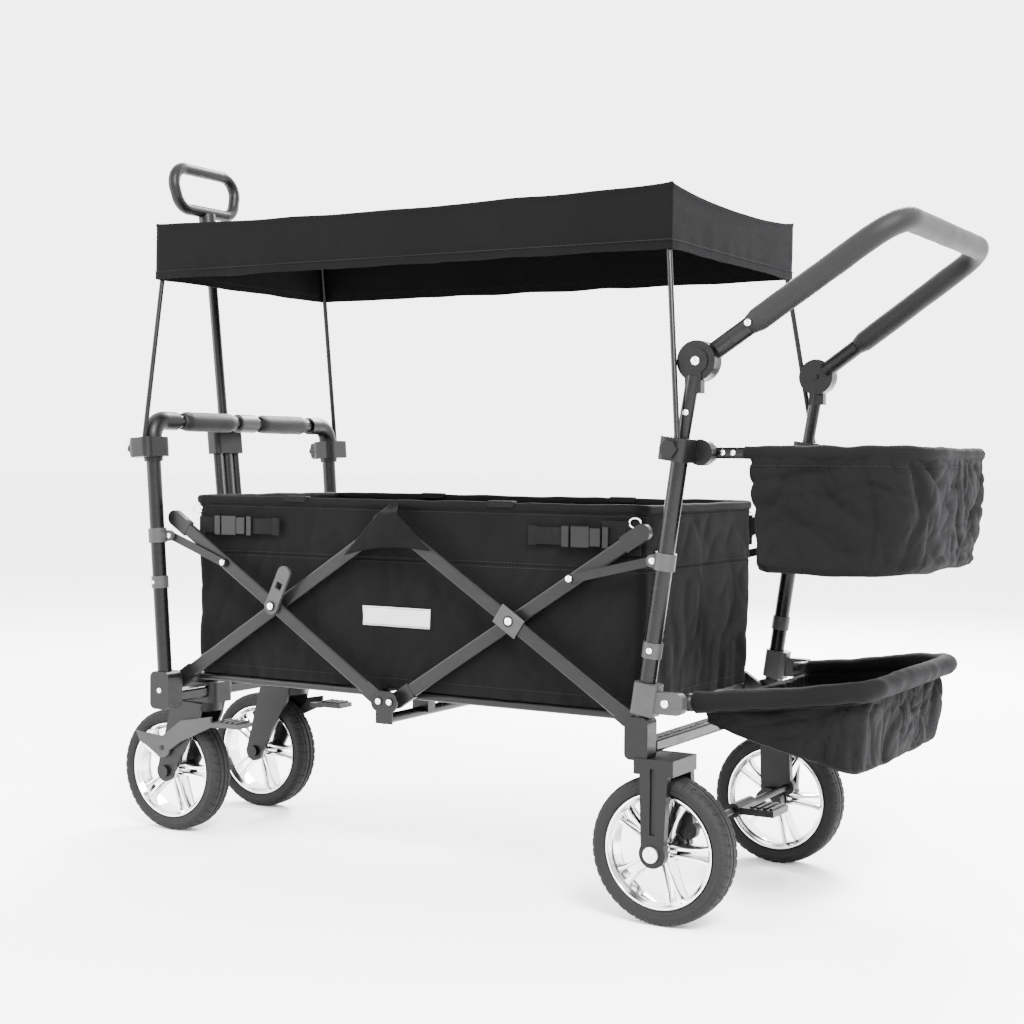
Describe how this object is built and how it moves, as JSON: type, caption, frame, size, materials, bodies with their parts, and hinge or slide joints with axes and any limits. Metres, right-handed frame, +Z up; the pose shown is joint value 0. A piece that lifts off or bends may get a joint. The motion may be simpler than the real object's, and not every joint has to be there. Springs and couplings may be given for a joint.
{
  "type": "folding pull wagon",
  "caption": "Folding four-wheel children's wagon: scissor sides, open fabric tub, flat canopy, telescopic drawbar, tilting push handle and rear baskets.",
  "frame": {"origin": "on the ground under the middle of the whole object's box, opened for use", "axes": "+X towards the push handle and baskets, -X towards the drawbar, +Y to the wagon's left as it is pulled, +Z up"},
  "size_m": [1.4301, 0.57, 1.1647],
  "materials": {
    "frame_tube": "satin black powder coat",
    "bar": "satin dark grey powder coat",
    "grey_bracket": "moulded light grey plastic",
    "black_plastic": "moulded black plastic, fine texture",
    "foam": "closed-cell foam",
    "fabric": "black woven polyester",
    "tyre": "matt rubber",
    "chrome": "bright plated plastic",
    "steel": "zinc plated"
  },
  "bodies": {
    "front_frame": {"front_posts": "frame_tube", "front_beam": "frame_tube", "front_foot_brackets": "black_plastic", "front_post_clamps": "grey_bracket", "crossbar_tube": "frame_tube", "crossbar_elbows": "black_plastic", "crossbar_foam": "foam", "drawbar_clip": "grey_bracket", "caster_mounts": "black_plastic", "front_pole_clamps": "black_plastic", "front_canopy_poles": "frame_tube", "canopy_fabric": "fabric"},
    "drawbar": {"drawbar_yoke": "frame_tube", "drawbar_sleeve": "black_plastic"},
    "drawbar_inner": {"drawbar_shaft": "frame_tube", "drawbar_grip": "black_plastic"},
    "caster_left": {"caster_fork_left": "black_plastic"},
    "caster_right": {"caster_fork_right": "black_plastic"},
    "caster_wheel_left": {"caster_tyre_left": "tyre", "caster_rim_left": "chrome"},
    "caster_wheel_right": {"caster_tyre_right": "tyre", "caster_rim_right": "chrome"},
    "caster_brake_left": {"caster_brake_left": "grey_bracket"},
    "caster_brake_right": {"caster_brake_right": "grey_bracket"},
    "front_knob_left": {"front_knob_left": "black_plastic"},
    "front_knob_right": {"front_knob_right": "black_plastic"},
    "front_inner_bars": {"front_inner_bars": "bar"},
    "front_outer_bars": {"front_outer_bars": "bar"},
    "rear_outer_bars": {"rear_outer_bars": "bar"},
    "rear_inner_bars": {"rear_inner_bars": "bar"},
    "top_centre": {"top_centre_brackets": "grey_bracket", "side_flaps": "fabric", "tub_fabric": "fabric"},
    "bottom_centre": {"bottom_centre_frame": "frame_tube"},
    "floor_front": {"floor_panel_front": "black_plastic"},
    "floor_rear": {"floor_panel_rear": "black_plastic"},
    "fold_latch": {"fold_latch": "grey_bracket"},
    "front_links": {"front_links": "grey_bracket"},
    "rear_links": {"rear_links": "grey_bracket"},
    "rear_frame": {"rear_posts": "frame_tube", "rear_beam": "frame_tube", "rear_forks": "black_plastic", "rear_post_clamps": "grey_bracket", "rear_hub_arms": "frame_tube", "rear_pole_clamps": "black_plastic", "rear_canopy_poles": "frame_tube", "rear_axles": "steel", "rear_brake_drums": "black_plastic"},
    "rear_wheel_left": {"rear_tyre_left": "tyre", "rear_rim_left": "chrome"},
    "rear_wheel_right": {"rear_tyre_right": "tyre", "rear_rim_right": "chrome"},
    "rear_brake": {"rear_brake_pedal": "black_plastic"},
    "push_handle": {"push_tube": "frame_tube", "push_foam": "foam", "push_hubs": "black_plastic"},
    "upper_basket": {"upper_basket_frame": "frame_tube", "upper_basket_bag": "fabric"},
    "lower_basket": {"lower_basket_frame": "foam", "lower_basket_bag": "fabric"}
  },
  "joints": [
    {"name": "fold", "type": "hinge", "parent": "front_frame", "child": "front_inner_bars", "pos_m": [-0.525, 0, 0.275], "axis": [0, -1, 0], "range_deg": [0, 40], "deforming": ["canopy_fabric"]},
    {"name": "front_cross", "type": "hinge", "parent": "front_inner_bars", "child": "front_outer_bars", "pos_m": [-0.3175, 0, 0.41], "axis": [0, -1, 0], "range_deg": [-80, 0]},
    {"name": "top_centre_turn", "type": "hinge", "parent": "front_inner_bars", "child": "top_centre", "pos_m": [-0.11, 0, 0.545], "axis": [0, -1, 0], "range_deg": [-40, 0], "deforming": ["side_flaps", "tub_fabric"]},
    {"name": "top_rear_turn", "type": "hinge", "parent": "top_centre", "child": "rear_outer_bars", "pos_m": [-0.09, 0, 0.545], "axis": [0, -1, 0], "range_deg": [-40, 0]},
    {"name": "rear_cross", "type": "hinge", "parent": "rear_outer_bars", "child": "rear_inner_bars", "pos_m": [0.1175, 0, 0.41], "axis": [0, -1, 0], "range_deg": [0, 80]},
    {"name": "rear_frame_turn", "type": "hinge", "parent": "rear_outer_bars", "child": "rear_frame", "pos_m": [0.325, 0, 0.275], "axis": [0, -1, 0], "range_deg": [0, 40]},
    {"name": "bottom_centre_turn", "type": "hinge", "parent": "front_outer_bars", "child": "bottom_centre", "pos_m": [-0.11, 0, 0.275], "axis": [0, -1, 0], "range_deg": [0, 40]},
    {"name": "floor_front_turn", "type": "hinge", "parent": "bottom_centre", "child": "floor_front", "pos_m": [-0.112, 0, 0.281], "axis": [0, 1, 0], "range_deg": [0, 76]},
    {"name": "floor_rear_turn", "type": "hinge", "parent": "bottom_centre", "child": "floor_rear", "pos_m": [-0.088, 0, 0.281], "axis": [0, -1, 0], "range_deg": [0, 76]},
    {"name": "front_link_turn", "type": "hinge", "parent": "front_frame", "child": "front_links", "pos_m": [-0.528, 0, 0.51577], "axis": [0, -1, 0], "range_deg": [0, 90.63]},
    {"name": "rear_link_turn", "type": "hinge", "parent": "rear_frame", "child": "rear_links", "pos_m": [0.352, 0, 0.50762], "axis": [0, 1, 0], "range_deg": [0, 75.91]},
    {"name": "latch_lever", "type": "hinge", "parent": "front_outer_bars", "child": "fold_latch", "pos_m": [-0.3175, -0.2303, 0.41], "axis": [0, -1, 0], "range_deg": [0, 25]},
    {"name": "drawbar_swing", "type": "hinge", "parent": "front_frame", "child": "drawbar", "pos_m": [-0.562, 0, 0.252], "axis": [0, -1, 0], "range_deg": [0, 80]},
    {"name": "drawbar_extend", "type": "slide", "parent": "drawbar", "child": "drawbar_inner", "axis": [-0.1075, 0, 0.9942], "range_m": [0, 0.34]},
    {"name": "caster_swivel_left", "type": "hinge", "parent": "front_frame", "child": "caster_left", "pos_m": [-0.552, 0.12, 0.23], "axis": [0, 0, 1], "continuous": true},
    {"name": "caster_spin_left", "type": "hinge", "parent": "caster_left", "child": "caster_wheel_left", "pos_m": [-0.61, 0.12, 0.105], "axis": [0, 1, 0], "continuous": true},
    {"name": "caster_brake_left", "type": "hinge", "parent": "caster_left", "child": "caster_brake_left", "pos_m": [-0.612, 0.156, 0.146], "axis": [0, 1, 0], "range_deg": [0, 10]},
    {"name": "front_knob_left", "type": "hinge", "parent": "front_frame", "child": "front_knob_left", "pos_m": [-0.55842, 0.246, 0.661], "axis": [0.9972, 0, 0.0742], "continuous": true},
    {"name": "rear_spin_left", "type": "hinge", "parent": "rear_frame", "child": "rear_wheel_left", "pos_m": [0.367, 0.219, 0.105], "axis": [0, 1, 0], "continuous": true},
    {"name": "caster_swivel_right", "type": "hinge", "parent": "front_frame", "child": "caster_right", "pos_m": [-0.552, -0.12, 0.23], "axis": [0, 0, 1], "continuous": true},
    {"name": "caster_spin_right", "type": "hinge", "parent": "caster_right", "child": "caster_wheel_right", "pos_m": [-0.61, -0.12, 0.105], "axis": [0, 1, 0], "continuous": true},
    {"name": "caster_brake_right", "type": "hinge", "parent": "caster_right", "child": "caster_brake_right", "pos_m": [-0.612, -0.156, 0.146], "axis": [0, 1, 0], "range_deg": [0, 10]},
    {"name": "front_knob_right", "type": "hinge", "parent": "front_frame", "child": "front_knob_right", "pos_m": [-0.55842, -0.246, 0.661], "axis": [0.9972, 0, 0.0742], "continuous": true},
    {"name": "rear_spin_right", "type": "hinge", "parent": "rear_frame", "child": "rear_wheel_right", "pos_m": [0.367, -0.219, 0.105], "axis": [0, 1, 0], "continuous": true},
    {"name": "rear_brake_press", "type": "hinge", "parent": "rear_frame", "child": "rear_brake", "pos_m": [0.392, 0, 0.129], "axis": [0, 1, 0], "range_deg": [0, 25]},
    {"name": "push_handle_tilt", "type": "hinge", "parent": "rear_frame", "child": "push_handle", "pos_m": [0.417, 0, 0.782], "axis": [0, -1, 0], "range_deg": [-38, 50]},
    {"name": "upper_basket_fold", "type": "hinge", "parent": "rear_frame", "child": "upper_basket", "pos_m": [0.42, 0, 0.658], "axis": [0, -1, 0], "range_deg": [-85, 0], "deforming": ["upper_basket_bag"]},
    {"name": "lower_basket_fold", "type": "hinge", "parent": "rear_frame", "child": "lower_basket", "pos_m": [0.398, 0, 0.313], "axis": [0, -1, 0], "range_deg": [0, 74], "deforming": ["lower_basket_bag"]}
  ],
  "couplings": [
    {"joint": "front_cross", "follows": "fold", "ratio": -2},
    {"joint": "top_centre_turn", "follows": "fold", "ratio": -1},
    {"joint": "top_rear_turn", "follows": "fold", "ratio": -1},
    {"joint": "rear_cross", "follows": "fold", "ratio": 2},
    {"joint": "rear_frame_turn", "follows": "fold", "ratio": 1},
    {"joint": "bottom_centre_turn", "follows": "fold", "ratio": 1},
    {"joint": "floor_front_turn", "follows": "fold", "ratio": 1.9},
    {"joint": "floor_rear_turn", "follows": "fold", "ratio": 1.9},
    {"joint": "front_link_turn", "follows": "fold", "ratio": 2.2533},
    {"joint": "rear_link_turn", "follows": "fold", "ratio": 1.8852}
  ]
}
